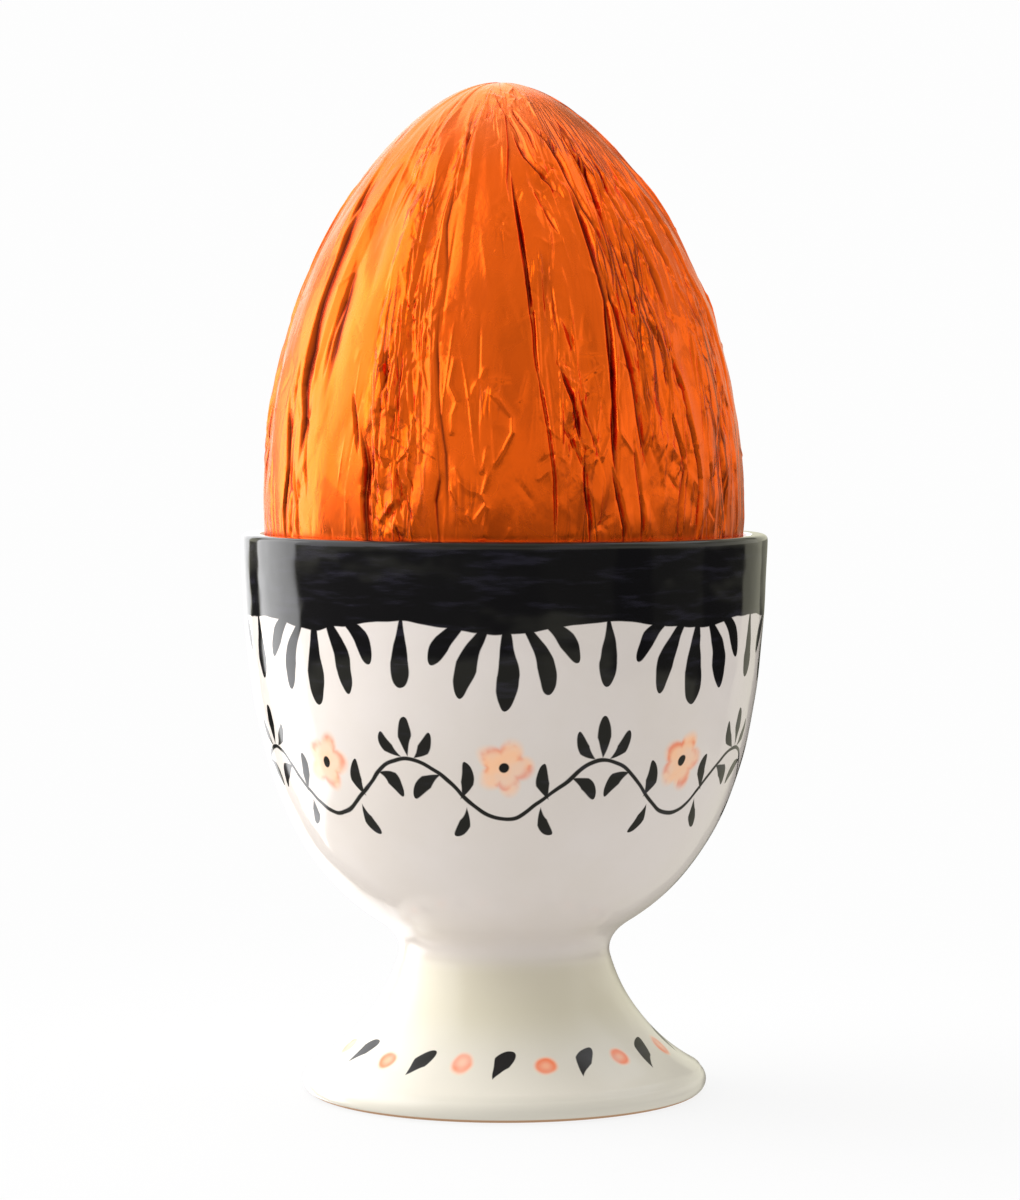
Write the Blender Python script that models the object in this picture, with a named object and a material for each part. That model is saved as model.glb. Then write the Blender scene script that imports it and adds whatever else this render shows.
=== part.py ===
"""A foil-wrapped chocolate egg standing in its glazed egg cup.

Metres, +Z up. The origin is on the cup's axis, on the surface its foot stands on,
and -Y is the front. The egg and the cup are two separate solids: the egg sits in
the mouth of the bowl, and the bowl below it is hollow.
"""

import math
import random
from collections import namedtuple

import bmesh
import bpy

# Egg cup: driving dimensions.
CUP_HEIGHT = 0.0560
CUP_SEGMENTS = 60
LIP_HEIGHT = 0.0011           # how far the rounded lip rises over the straight wall
MOUTH_CLEARANCE = 0.0004      # gap left between the egg and the lip

# Bowl, outside: r = full radius * (1 - depth ** fullness) ** roundness.
BOWL_FULL_RADIUS = 0.02648
BOWL_CROWN_Z = 0.0861         # where the curve would stand upright
BOWL_ROOT_Z = 0.0138          # where the curve would close on the axis
BOWL_FULLNESS = 5.16
BOWL_ROUNDNESS = 0.493

# Bowl, inside.
BOWL_FLOOR_Z = 0.0210
BOWL_INNER_FULLNESS = 3.2

# Neck and foot: one hollow arc flares from the neck to the foot's edge.
NECK_TOP_Z = 0.0161
FLARE_CENTRE_RADIUS = 0.02897
FLARE_CENTRE_Z = 0.01914
FLARE_RADIUS = 0.01915
FLARE_START_Z = 0.0024
FOOT_EDGE_ROUND = 0.0012
FOOT_RING_OUTER = 0.01905
FOOT_RING_INNER = 0.0172
RECESS_HEIGHT = 0.0060        # hollow under the foot
RECESS_FULLNESS = 2.6

# Egg: driving dimensions.
EGG_RADIUS = 0.0240
EGG_WAIST_Z = 0.0585          # height of its widest ring
EGG_TIP_Z = 0.10085
EGG_BASE_Z = 0.0316
EGG_TIP_TAPER = 0.113         # how much slimmer than an ellipse the upper half is
EGG_TIP_POINT = 0.079         # the same, close to the tip only
EGG_LEAN = math.radians(-0.6) # towards -X, about the middle of the mouth
EGG_RINGS = 28

# Foil: pleats run down the egg, from its tip towards the bowl. Each has a groove with
# a ridge on either side of it, and the foil lies flatter between two pleats.
Fold = namedtuple("Fold", "azimuth_high azimuth_low top_z low_z depth width")
FRONT_FOLDS = (
    Fold(-70.0, -62.0, 0.0930, 0.0560, 0.00090, 4.5),
    Fold(-55.0, -51.0, 0.0860, 0.0660, 0.00050, 3.0),
    Fold(-39.0, -35.5, 0.0900, 0.0520, 0.00060, 3.5),
    Fold(-20.0, -22.0, 0.0960, 0.0580, 0.00040, 3.5),
    Fold(0.0, 12.5, 0.0985, 0.0500, 0.00080, 3.5),
    Fold(24.0, 27.0, 0.0980, 0.0540, 0.00045, 3.0),
    Fold(38.0, 36.5, 0.0970, 0.0620, 0.00060, 3.0),
    Fold(56.0, 54.0, 0.0960, 0.0540, 0.00045, 3.5),
)
BACK_FOLD_COUNT = 14
BACK_FIRST_AZIMUTH = 72.0
BACK_LAST_AZIMUTH = 276.0
BACK_FOLD_SHIFT = 3.0         # degrees a pleat may sit to one side of its even place
BACK_FOLD_DRIFT = 3.0         # degrees its two ends may wander
BACK_FOLD_WIDTH = 3.5
FOLD_SEED = 7
FOLD_FADE = 0.012             # height over which a pleat dies out at each end
NEAR_RIDGE = 0.6              # a pleat's steep side, as a share of its width
FACET_DEPTH = 0.00025         # how flat the foil lies between two pleats
CRUMPLE = 0.00012             # how far single points are pressed in at most


def make_material(name, colour, roughness, metallic):
    """A plain Principled material."""
    material = bpy.data.materials.new(name)
    material.use_nodes = True
    shader = material.node_tree.nodes["Principled BSDF"]
    shader.inputs["Base Color"].default_value = (*colour, 1.0)
    shader.inputs["Roughness"].default_value = roughness
    shader.inputs["Metallic"].default_value = metallic
    material.diffuse_color = (*colour, 1.0)
    return material


def add_rings(name, rings, material):
    """One closed object through rings of points, listed upwards on the outside.

    The first and the last ring are single points, which close the two ends.
    """
    mesh_code = bmesh.new()
    rows = [[mesh_code.verts.new(point) for point in ring] for ring in rings]
    for lower, upper in zip(rows, rows[1:]):
        count = max(len(lower), len(upper))
        for step in range(count):
            after = (step + 1) % count
            if len(lower) == 1:
                corners = (lower[0], upper[after], upper[step])
            elif len(upper) == 1:
                corners = (lower[step], lower[after], upper[0])
            else:
                corners = (lower[step], lower[after], upper[after], upper[step])
            mesh_code.faces.new(corners)
    mesh = bpy.data.meshes.new(name)
    mesh_code.to_mesh(mesh)
    mesh_code.free()
    mesh.materials.append(material)
    mesh.shade_smooth()
    piece = bpy.data.objects.new(name, mesh)
    bpy.context.scene.collection.objects.link(piece)
    return piece


def on_azimuth(radius, degrees, z):
    """A point by its distance from the axis and its direction, 0 at the front."""
    angle = math.radians(degrees)
    return (radius * math.sin(angle), -radius * math.cos(angle), z)


# Egg ---------------------------------------------------------------------------

def egg_radius(z):
    """Radius of the smooth egg: a blunt lower half and a slimmer upper half."""
    if z <= EGG_WAIST_Z:
        share = (EGG_WAIST_Z - z) / (EGG_WAIST_Z - EGG_BASE_Z)
        return EGG_RADIUS * math.sqrt(max(0.0, 1.0 - share ** 2))
    share = (z - EGG_WAIST_Z) / (EGG_TIP_Z - EGG_WAIST_Z)
    slimmer = 1.0 - EGG_TIP_TAPER * share ** 2 - EGG_TIP_POINT * share ** 4
    return EGG_RADIUS * math.sqrt(max(0.0, 1.0 - share ** 2)) * slimmer


def all_folds():
    """The front pleats, and the ones shared out round the sides and the back."""
    dice = random.Random(FOLD_SEED)
    folds = list(FRONT_FOLDS)
    spacing = (BACK_LAST_AZIMUTH - BACK_FIRST_AZIMUTH) / (BACK_FOLD_COUNT - 1)
    for index in range(BACK_FOLD_COUNT):
        azimuth = BACK_FIRST_AZIMUTH + index * spacing
        azimuth += dice.uniform(-BACK_FOLD_SHIFT, BACK_FOLD_SHIFT)
        drift = dice.uniform(-BACK_FOLD_DRIFT, BACK_FOLD_DRIFT)
        top_z = dice.uniform(0.088, 0.098)
        low_z = dice.uniform(0.050, 0.064)
        depth = dice.uniform(0.00035, 0.00080)
        folds.append(Fold(azimuth - drift, azimuth + drift, top_z, low_z, depth,
                          BACK_FOLD_WIDTH))
    return folds


def fold_azimuth(fold, z):
    """Direction of a pleat's line at a height."""
    share = (fold.top_z - z) / (fold.top_z - fold.low_z)
    share = min(1.0, max(0.0, share))
    return fold.azimuth_high + (fold.azimuth_low - fold.azimuth_high) * share


def smooth_step(value):
    """0 below 0, 1 above 1, and a smooth rise between."""
    value = min(1.0, max(0.0, value))
    return value * value * (3.0 - 2.0 * value)


def fold_strength(fold, z):
    """1 along the middle of a pleat, falling to 0 past each of its ends."""
    from_top = smooth_step((fold.top_z - z) / FOLD_FADE + 0.5)
    from_low = smooth_step((z - fold.low_z) / FOLD_FADE + 0.5)
    return from_top * from_low


def foil_columns(folds, z):
    """Round the egg at a height: the direction of each column, and how far it is pressed in.

    A pleat has three columns, the near ridge, the groove and the far ridge, and the
    flatter foil up to the next pleat has one.
    """
    columns = []
    for index, fold in enumerate(folds):
        azimuth = fold_azimuth(fold, z)
        following = folds[(index + 1) % len(folds)]
        next_azimuth = fold_azimuth(following, z) - NEAR_RIDGE * following.width
        if index == len(folds) - 1:
            next_azimuth += 360.0
        far_ridge = azimuth + fold.width
        columns.append((azimuth - NEAR_RIDGE * fold.width, 0.0))
        columns.append((azimuth, fold.depth * fold_strength(fold, z)))
        columns.append((far_ridge, 0.0))
        columns.append((0.5 * (far_ridge + next_azimuth), FACET_DEPTH))
    return columns


def make_egg():
    """The wrapped egg, one solid from its tip to its base, leaning in the bowl."""
    folds = all_folds()
    dice = random.Random(FOLD_SEED)
    rings = [[(0.0, 0.0, EGG_BASE_Z)]]
    for ring in range(1, EGG_RINGS):
        climb = -math.cos(math.pi * ring / EGG_RINGS)
        reach = EGG_TIP_Z if climb > 0.0 else EGG_BASE_Z
        z = EGG_WAIST_Z + abs(climb) * (reach - EGG_WAIST_Z)
        fade = min(1.0, 2.0 * egg_radius(z) / EGG_RADIUS)
        row = []
        for azimuth, pressed_in in foil_columns(folds, z):
            depth = pressed_in + dice.uniform(0.0, CRUMPLE)
            row.append(on_azimuth(egg_radius(z) - depth * fade, azimuth, z))
        rings.append(row)
    rings.append([(0.0, 0.0, EGG_TIP_Z)])
    foil = make_material("orange_foil", (0.72, 0.12, 0.008), 0.30, 1.0)
    leaned = [[lean(point) for point in row] for row in rings]
    return add_rings("foil_egg", leaned, foil)


def lean(point):
    """The point turned about the Y axis through the middle of the cup's mouth."""
    x, y, z = point
    rise = z - CUP_HEIGHT
    across = x * math.cos(EGG_LEAN) + rise * math.sin(EGG_LEAN)
    up = rise * math.cos(EGG_LEAN) - x * math.sin(EGG_LEAN)
    return (across, y, CUP_HEIGHT + up)


# Cup ---------------------------------------------------------------------------

def arc(centre, radii, first, last, steps):
    """Points (radius, z) along a round or oval arc, both ends included."""
    points = []
    for step in range(steps + 1):
        angle = math.radians(first + (last - first) * step / steps)
        across = centre[0] + radii[0] * math.cos(angle)
        points.append((across, centre[1] + radii[1] * math.sin(angle)))
    return points


def bowl_radius(z):
    """Radius of the bowl's outside at a height."""
    depth = (BOWL_CROWN_Z - z) / (BOWL_CROWN_Z - BOWL_ROOT_Z)
    return BOWL_FULL_RADIUS * (1.0 - depth ** BOWL_FULLNESS) ** BOWL_ROUNDNESS


def flare_radius(z):
    """Radius of the hollow arc from the foot's edge to the neck."""
    rise = FLARE_CENTRE_Z - z
    return FLARE_CENTRE_RADIUS - math.sqrt(FLARE_RADIUS ** 2 - rise ** 2)


def spaced(first, last, steps, bias=1.0):
    """Values from first to last, both included, closer together near the first."""
    return [first + (last - first) * (step / steps) ** bias for step in range(steps + 1)]


def cup_profile():
    """The cup's section as (radius, z), from under the foot up and into the bowl."""
    mouth_radius = EGG_RADIUS + MOUTH_CLEARANCE
    lip_z = CUP_HEIGHT - LIP_HEIGHT
    points = []
    for share in (0.45, 0.75, 0.93):
        height = RECESS_HEIGHT * (1.0 - share ** RECESS_FULLNESS)
        points.append((FOOT_RING_INNER * share, height))
    points.append((FOOT_RING_INNER, 0.0))
    points += arc((FOOT_RING_OUTER, FOOT_EDGE_ROUND), (FOOT_EDGE_ROUND, FOOT_EDGE_ROUND),
                  -90.0, 50.0, 4)
    for z in spaced(FLARE_START_Z, NECK_TOP_Z - 0.0010, 6):
        points.append((flare_radius(z), z))
    for z in spaced(NECK_TOP_Z, lip_z, 10, 1.7):
        points.append((bowl_radius(z), z))
    lip_width = bowl_radius(lip_z) - mouth_radius
    lip_middle = mouth_radius + 0.5 * lip_width
    points += arc((lip_middle, lip_z), (0.5 * lip_width, LIP_HEIGHT), 30.0, 180.0, 5)
    bowl_depth = lip_z - BOWL_FLOOR_Z
    for share in (0.30, 0.55, 0.76, 0.90, 0.98):
        inside = mouth_radius * math.sqrt(1.0 - share ** BOWL_INNER_FULLNESS)
        points.append((inside, lip_z - bowl_depth * share))
    return points


def make_cup():
    """The cup, one turned solid: hollow under the foot and hollow in the bowl."""
    rings = [[(0.0, 0.0, RECESS_HEIGHT)]]
    for radius, z in cup_profile():
        row = []
        for step in range(CUP_SEGMENTS):
            row.append(on_azimuth(radius, 360.0 * step / CUP_SEGMENTS, z))
        rings.append(row)
    rings.append([(0.0, 0.0, BOWL_FLOOR_Z)])
    glaze = make_material("glazed_cup", (0.78, 0.76, 0.71), 0.12, 0.0)
    return add_rings("egg_cup", rings, glaze)


def main():
    for old in list(bpy.data.objects):
        bpy.data.objects.remove(old, do_unlink=True)
    make_cup()
    make_egg()


main()
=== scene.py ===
"""Looks of a foil-wrapped chocolate egg standing in its glazed egg cup.

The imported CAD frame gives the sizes. Two pieces stand for its two nodes: the foil, a
fine mesh whose folds, crumples and creases are real relief, and the cup, a turned mesh
with a painted glaze. Lengths are metres in the scene and in the materials, and
millimetres in the foil's relief, the cup's outline and its painting. Azimuths are degrees
round the cup's axis, 0 at the front (-Y) and rising towards +X.
"""

import math

import bpy
import numpy as np
from mathutils.geometry import delaunay_2d_cdt
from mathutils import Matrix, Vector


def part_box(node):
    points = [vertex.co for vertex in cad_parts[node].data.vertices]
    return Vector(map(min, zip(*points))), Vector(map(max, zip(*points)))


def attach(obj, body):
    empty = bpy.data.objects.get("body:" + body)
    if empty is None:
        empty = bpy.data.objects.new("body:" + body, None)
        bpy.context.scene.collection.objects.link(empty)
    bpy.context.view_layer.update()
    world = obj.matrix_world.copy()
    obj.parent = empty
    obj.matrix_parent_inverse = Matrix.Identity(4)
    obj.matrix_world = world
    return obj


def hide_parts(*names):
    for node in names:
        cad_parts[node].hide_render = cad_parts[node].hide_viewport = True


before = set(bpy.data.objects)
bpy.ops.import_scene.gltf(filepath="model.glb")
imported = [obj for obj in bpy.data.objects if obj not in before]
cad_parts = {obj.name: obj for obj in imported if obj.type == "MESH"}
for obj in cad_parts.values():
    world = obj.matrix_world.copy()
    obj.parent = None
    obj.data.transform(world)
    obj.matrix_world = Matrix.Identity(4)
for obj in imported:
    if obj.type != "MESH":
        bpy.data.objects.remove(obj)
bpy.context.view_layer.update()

MM = 0.001
CUP_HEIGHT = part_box("egg_cup")[1].z / MM
TIP_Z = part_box("foil_egg")[1].z / MM

# Smooth egg.
EGG_RADIUS = 24.0
EGG_WAIST_Z = 58.5
EGG_BASE_Z = 31.6
EGG_TIP_TAPER = 0.113
EGG_TIP_POINT = 0.079
EGG_LEAN = math.radians(-0.6)

# Foil mesh.
COLUMNS = 1800
ROWS = 600
FIRST_ROW = 0.35              # distance of the first ring from the tip
FINE_DEGREES = 92.0           # every column is kept this far round from the front
BACK_STRIDE = 6               # and one column in six behind
FOIL_EDGE_Z = 53.0            # the fine relief ends here, inside the cup's mouth
HIDDEN_RINGS = 12
HIDDEN_GAP = 0.1              # how far the hidden end is inside the smooth egg
TIP_GAP = 0.08
BASE_GAP = 0.05
TRIANGLE_BUDGET = 197000
FOIL_SEED = 11

# The relief's limits, and how far a place must sink below its blurred surroundings to get painted
# shade, and how dark that shade gets.
RELIEF_LOW = -1.5
RELIEF_HIGH = 0.40
RELIEF_SINK = 0.10
MOUTH_HIGH = 0.05             # the most that the foil stands out inside the cup's mouth
MOUTH_GAIN = 0.25             # and how much more it may stand out above it
MOUTH_FADE = 5.0
HOLLOW_BLUR = np.full(11, 1.0 / 11.0)
HOLLOW_START = 0.05
HOLLOW_RANGE = 0.30
HOLLOW_MOST = 0.8

# Long folds: how far one wavers and how much its strength varies, with the steps between
# changes, then how its ends fade and how far its sides reach.
WAVER = 0.12
WAVER_STEP = 4.5
VARIES = 0.25
VARIES_STEP = 3.0
VARIES_LIMITS = (0.45, 1.6)
FADE_LENGTH = 6.0
FADE_SHARE = 0.4
FADE_END = 0.03
FOLD_NARROW_RADIUS = 9.0
OVERLAP_REACH = 8.0
LINE_REACH = 5.0
# Painted shade: the folds' closed depths get a dark colour standing in for the shade in them.
CREVICE_DEPTH = 0.30          # a fold this deep is fully dark
WRINKLE_REACH = 4.0

# Facets: mean distances across and down, and how far they are raised or pressed in.
PANEL_FACETS = (4.5, 14.0)
CRUMPLE_FACETS = (2.1, 5.5)
SMALL_FACETS = (1.0, 2.6)
PANEL_AMOUNT = 0.16
CRUMPLE_AMOUNT = 0.36
SMALL_AMOUNT = 0.16
FACET_LIMIT = 1.8
NARROW_RADIUS = 14.0          # nearer the tip than this the facets get flatter
ROUNDING = np.exp(-0.5 * (np.arange(-2, 3) / 0.55) ** 2)
ROUNDING = ROUNDING / ROUNDING.sum()    # the last small blur of the whole relief


# Relief of the foil

def egg_radius(z):
    """Radius of the smooth egg at heights z, in millimetres."""
    up = np.clip((z - EGG_WAIST_Z) / (TIP_Z - EGG_WAIST_Z), 0.0, 1.0)
    down = np.clip((EGG_WAIST_Z - z) / (EGG_WAIST_Z - EGG_BASE_Z), 0.0, 1.0)
    slimmer = 1.0 - EGG_TIP_TAPER * up ** 2 - EGG_TIP_POINT * up ** 4
    return EGG_RADIUS * np.sqrt(1.0 - up ** 2) * np.sqrt(1.0 - down ** 2) * slimmer


def smooth_step(value):
    value = np.clip(value, 0.0, 1.0)
    return value * value * (3.0 - 2.0 * value)


def wrap(degrees):
    """An angle brought to -180..180."""
    return (degrees + 180.0) % 360.0 - 180.0


def azimuth_of(column):
    return column * 360.0 / COLUMNS - 180.0


def column_of(azimuth):
    return (azimuth + 180.0) * COLUMNS / 360.0


def wander(dice, places, step, amount):
    """A wavering value along places, with a new random aim every step."""
    start = places.min() - step * dice.random()
    count = int((places.max() - start) / step) + 3
    knots = start + step * np.arange(count)
    return np.interp(places, knots, dice.normal(0.0, amount, count))


class Relief:
    """Height of the foil over the smooth egg, on a grid of rows (down) and columns (round)."""

    def __init__(self):
        fine = TIP_Z - (TIP_Z - FOIL_EDGE_Z) * np.linspace(0.0, 1.0, 6001) ** 2
        radius = egg_radius(fine)
        steps = np.hypot(np.diff(fine), np.diff(radius))
        along = np.concatenate(([0.0], np.cumsum(steps)))
        self.length = along[-1]
        self.down = np.linspace(FIRST_ROW, self.length, ROWS)
        self.z = np.interp(self.down, along, fine)
        self.radius = egg_radius(self.z)
        self.normal_r = -np.gradient(self.z, self.down)
        self.normal_z = np.gradient(self.radius, self.down)
        self.azimuth = azimuth_of(np.arange(COLUMNS))
        self.height = np.zeros((ROWS, COLUMNS))
        # Painted shade in the folds' closed depths, 0 to 1, for the foil's colour to read.
        self.crevice_shade = np.zeros((ROWS, COLUMNS))
        self.mm_per_degree = np.radians(1.0) * self.radius

    def down_at(self, z):
        """Distance down the foil from the tip, at a height."""
        return np.interp(-z, -self.z, self.down)

    def fold(self, dice, kind, height, depth, width, points):
        """One long fold through points (azimuth, z), listed downwards.

        kind is "ridge" (a sharp crest), "slit" (a groove between two small crests),
        "pleat" (a groove with its higher lip on the right), "left" (the left side lies
        over the right one), or "valley" (a soft groove).
        """
        azimuths, heights = np.array(points, float).T
        downs = self.down_at(heights)
        rows = np.nonzero((self.down >= downs[0]) & (self.down <= downs[-1]))[0]
        if len(rows) < 3:
            return
        down = self.down[rows]
        scale = self.mm_per_degree[rows]
        centre = np.interp(down, downs, azimuths)
        centre = centre + wander(dice, down, WAVER_STEP, WAVER) / np.maximum(scale, 0.08)
        fade = min(FADE_LENGTH, FADE_SHARE * (downs[-1] - downs[0]))
        varied = 1.0 + wander(dice, down, VARIES_STEP, VARIES)
        strength = smooth_step((down - downs[0]) / fade + FADE_END)
        strength = strength * smooth_step((downs[-1] - down) / fade + FADE_END)
        strength = strength * np.clip(varied, *VARIES_LIMITS)
        strength = strength * np.minimum(1.0, self.radius[rows] / FOLD_NARROW_RADIUS) ** 0.5
        reach = OVERLAP_REACH if kind in ("left", "pleat") else LINE_REACH * width
        half = int(min(COLUMNS // 2 - 1, reach / scale.min() * COLUMNS / 360.0 + 2))
        middle = np.round(column_of(centre)).astype(int)
        columns = middle[:, None] + np.arange(-half, half + 1)[None, :]
        across = wrap(azimuth_of(columns) - centre[:, None]) * scale[:, None]
        columns = columns % COLUMNS
        wide = width * (0.5 + 0.5 * np.minimum(strength, 1.0))[:, None]
        places = (rows[:, None], columns)
        self.height[places] += fold_shape(kind, across, wide, height, depth) * strength[:, None]
        # The fold's closed depth gets painted shade, full where the fold is deep enough.
        deep = np.clip(strength[:, None] * depth / CREVICE_DEPTH, 0.0, 1.0)
        dark = fold_crevice_shade(kind, across, wide) * deep
        self.crevice_shade[places] = np.maximum(self.crevice_shade[places], dark)

    def wrinkle(self, height, width, points):
        """A short crease in any direction, through points (azimuth, z)."""
        azimuths, heights = np.array(points, float).T
        downs = self.down_at(heights)
        scale = np.interp(downs.mean(), self.down, self.mm_per_degree)
        reach = WRINKLE_REACH * width
        rows = np.nonzero((self.down > downs.min() - reach)
                          & (self.down < downs.max() + reach))[0]
        spread = reach / scale
        first = int(column_of(azimuths.min() - spread))
        last = int(column_of(azimuths.max() + spread)) + 1
        columns = np.arange(first, last + 1)
        x = azimuth_of(columns) * scale
        y = self.down[rows]
        line = np.stack((azimuths * scale, downs), 1)
        nearest = np.full((len(rows), len(columns)), 1e9)
        strength = np.zeros_like(nearest)
        lengths = np.hypot(*np.diff(line, axis=0).T)
        total = lengths.sum()
        run = 0.0
        for start, end, length in zip(line, line[1:], lengths):
            direction = (end - start) / max(length, 1e-6)
            dx = x[None, :] - start[0]
            dy = y[:, None] - start[1]
            share = np.clip(dx * direction[0] + dy * direction[1], 0.0, length)
            distance = np.hypot(dx - share * direction[0], dy - share * direction[1])
            place = (run + share) / total
            taper = np.sqrt(np.clip(4.0 * place * (1.0 - place), 0.0, 1.0))
            closer = distance < nearest
            nearest = np.where(closer, distance, nearest)
            strength = np.where(closer, taper, strength)
            run += length
        shape = height * np.exp(-nearest / width) * strength
        self.height[rows[:, None], columns[None, :] % COLUMNS] += shape

    def crease(self, azimuth, z, turn, length, left_width, right_width, height):
        """One straight roof-shaped crease, sharp along its ridge, or a valley if height < 0.

        turn is its angle from the meridian in degrees. The two widths say how far its
        flat sides reach.
        """
        middle = float(self.down_at(z))
        sine = math.sin(math.radians(turn))
        cosine = math.cos(math.radians(turn))
        widest = max(left_width, right_width)
        reach = 0.5 * length * cosine + widest * abs(sine)
        first, last = np.searchsorted(self.down, (middle - reach, middle + reach))
        if last - first < 3:
            return
        scale = self.mm_per_degree[first:last]
        side = 0.5 * length * abs(sine) + widest * cosine
        spread = min(side / scale.min(), 60.0)
        low = int(column_of(azimuth - spread))
        high = int(column_of(azimuth + spread)) + 2
        columns = np.arange(low, high)
        x = (azimuth_of(columns) - azimuth)[None, :] * scale[:, None]
        y = (self.down[first:last] - middle)[:, None]
        along = (x * sine + y * cosine) / (0.5 * length)
        across = x * cosine - y * sine
        width = np.where(across < 0.0, left_width, right_width)
        roof = np.clip(1.0 - np.abs(across) / width, 0.0, 1.0)
        taper = np.clip(1.0 - along ** 2, 0.0, 1.0)
        self.height[first:last, columns % COLUMNS] += height * roof * taper

    def facets(self, dice, across, down, amount):
        """Flat facets between scattered points, each raised or pressed in.

        across and down are the points' mean distances in millimetres, and amount is a
        function of (azimuth, z) that says how far they move. The points near the seam
        at the back are repeated beyond it, so that the facets close there.
        """
        width = 360.0 * math.radians(EGG_RADIUS)
        count_x = int(width / across)
        count_y = int(self.length / down) + 2
        count = count_x * (count_y + 3)
        points = np.stack((dice.random(count), dice.uniform(-1.5, count_y + 1.5, count) * down,
                           dice.normal(0.0, 1.0, count)), 1)
        azimuth = points[:, 0] * 360.0 - 180.0
        z = np.interp(points[:, 1], self.down, self.z)
        raised = np.clip(points[:, 2], -FACET_LIMIT, FACET_LIMIT) * amount(azimuth, z)
        x = points[:, 0] * COLUMNS
        y = (points[:, 1] - self.down[0]) / (self.down[1] - self.down[0])
        edge = 3.0 * across / width * COLUMNS
        left = x > COLUMNS - edge
        right = x < edge
        x = np.concatenate((x, x[left] - COLUMNS, x[right] + COLUMNS))
        y = np.concatenate((y, y[left], y[right]))
        raised = np.concatenate((raised, raised[left], raised[right]))
        squash = across / down * (self.down[1] - self.down[0]) / (width / COLUMNS)
        flat = [(a, b * squash) for a, b in zip(x.tolist(), y.tolist())]
        result = delaunay_2d_cdt(flat, [], [], 0, 1e-5, True)
        source = [ids[0] for ids in result[3]]
        layer = np.zeros_like(self.height)
        for corners in result[2]:
            picks = [source[c] for c in corners]
            paint_triangle(layer, x[picks], y[picks], raised[picks])
        self.height += layer


def blurred(values, weights):
    """Values of the grid blurred both ways, round the columns and down the rows."""
    reach = len(weights) // 2
    across = sum(w * np.roll(values, i - reach, 1) for i, w in enumerate(weights))
    padded = np.pad(across, ((reach, reach), (0, 0)), mode="edge")
    return sum(w * padded[i:i + ROWS] for i, w in enumerate(weights))


def fold_shape(kind, x, width, height, depth):
    """Section of a fold. x is the distance from its line in millimetres, rising to the right."""
    apart = np.abs(x) / width
    if kind == "ridge":
        return height * np.exp(-apart) - depth * np.exp(-(apart - 2.0) ** 2)
    if kind == "slit":
        return height * np.exp(-(apart - 1.5) ** 2 / 0.4) - depth * np.exp(-apart ** 1.5)
    if kind == "valley":
        return height * np.exp(-(apart - 1.8) ** 2 / 0.5) - depth * np.exp(-apart ** 2)
    if kind == "pleat":
        crest = smooth_step(x / (1.4 * width)) * np.exp(-np.maximum(x / width - 1.4, 0.0) / 2.5)
        edge = smooth_step(-x / (0.9 * width)) * np.exp(np.minimum(x, 0.0) / 2.2)
        return height * (crest + 0.6 * edge) - depth * np.exp(-(x / (0.75 * width)) ** 2)
    step = smooth_step(-x / width + 0.5)
    over = step * np.exp(-np.maximum(-x, 0.0) / 2.2)
    under = (1.0 - step) * np.exp(np.minimum(-x, 0.0))
    return height * over - depth * under


def fold_crevice_shade(kind, x, width):
    """How much painted shade a fold's closed depth gets, 0 to 1, across its section."""
    if kind == "ridge":
        return 0.25 * np.exp(-((x / width - 1.6) / 0.8) ** 2)
    if kind in ("slit", "pleat"):
        return np.exp(-(x / (0.45 * width)) ** 2)
    if kind == "valley":
        return 0.5 * np.exp(-(x / width) ** 2)
    return np.exp(-((-x / width + 0.25) / 0.36) ** 2)


def paint_triangle(layer, x, y, value):
    """Fills one flat triangle of a grid with its interpolated value."""
    area = (x[1] - x[0]) * (y[2] - y[0]) - (x[2] - x[0]) * (y[1] - y[0])
    if abs(area) < 1e-9:
        return
    low_x = max(0, math.ceil(x.min()))
    high_x = min(COLUMNS - 1, math.floor(x.max()))
    low_y = max(0, math.ceil(y.min()))
    high_y = min(ROWS - 1, math.floor(y.max()))
    if low_x > high_x or low_y > high_y:
        return
    gx = np.arange(low_x, high_x + 1)[None, :]
    gy = np.arange(low_y, high_y + 1)[:, None]
    b = ((gx - x[0]) * (y[2] - y[0]) - (x[2] - x[0]) * (gy - y[0])) / area
    c = ((x[1] - x[0]) * (gy - y[0]) - (gx - x[0]) * (y[1] - y[0])) / area
    a = 1.0 - b - c
    inside = (a >= -1e-6) & (b >= -1e-6) & (c >= -1e-6)
    filled = a * value[0] + b * value[1] + c * value[2]
    block = layer[low_y:high_y + 1, low_x:high_x + 1]
    block[inside] = filled[inside]


# Crumpled places: (azimuth, z, half width in degrees, half height, strength).
CRUMPLED = (
    (-26, 71, 8, 19, 0.9), (-29, 85.5, 4, 4, 1.0), (-17, 93, 4, 5, 0.6), (-36, 94, 5, 4, 0.4),
    (-4, 70, 7, 3, 0.35), (-9, 59, 6, 4, 0.3), (2, 86, 5, 4, 0.3), (-59, 59, 5, 6, 0.45),
    (18, 68, 8, 8, 0.9), (15, 76, 4, 7, 0.5), (17, 90, 10, 5, 0.55), (12, 79, 6, 5, 0.5),
    (48, 88, 18, 7, 0.65), (42, 73, 12, 14, 0.7), (64, 72, 12, 20, 0.6), (32, 60, 20, 6, 0.22),
    (7, 98, 30, 2, 0.5), (95, 78, 10, 12, 0.8), (118, 66, 9, 9, 0.9), (140, 86, 9, 8, 0.7),
    (158, 70, 10, 13, 1.0), (-172, 88, 9, 6, 0.6), (-160, 64, 9, 8, 0.8), (-138, 78, 9, 14, 1.0),
    (-112, 67, 9, 8, 0.7), (-98, 86, 9, 8, 0.6), (-84, 70, 6, 10, 0.5),
)
CRUMPLE_FLOOR = 0.10

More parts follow.
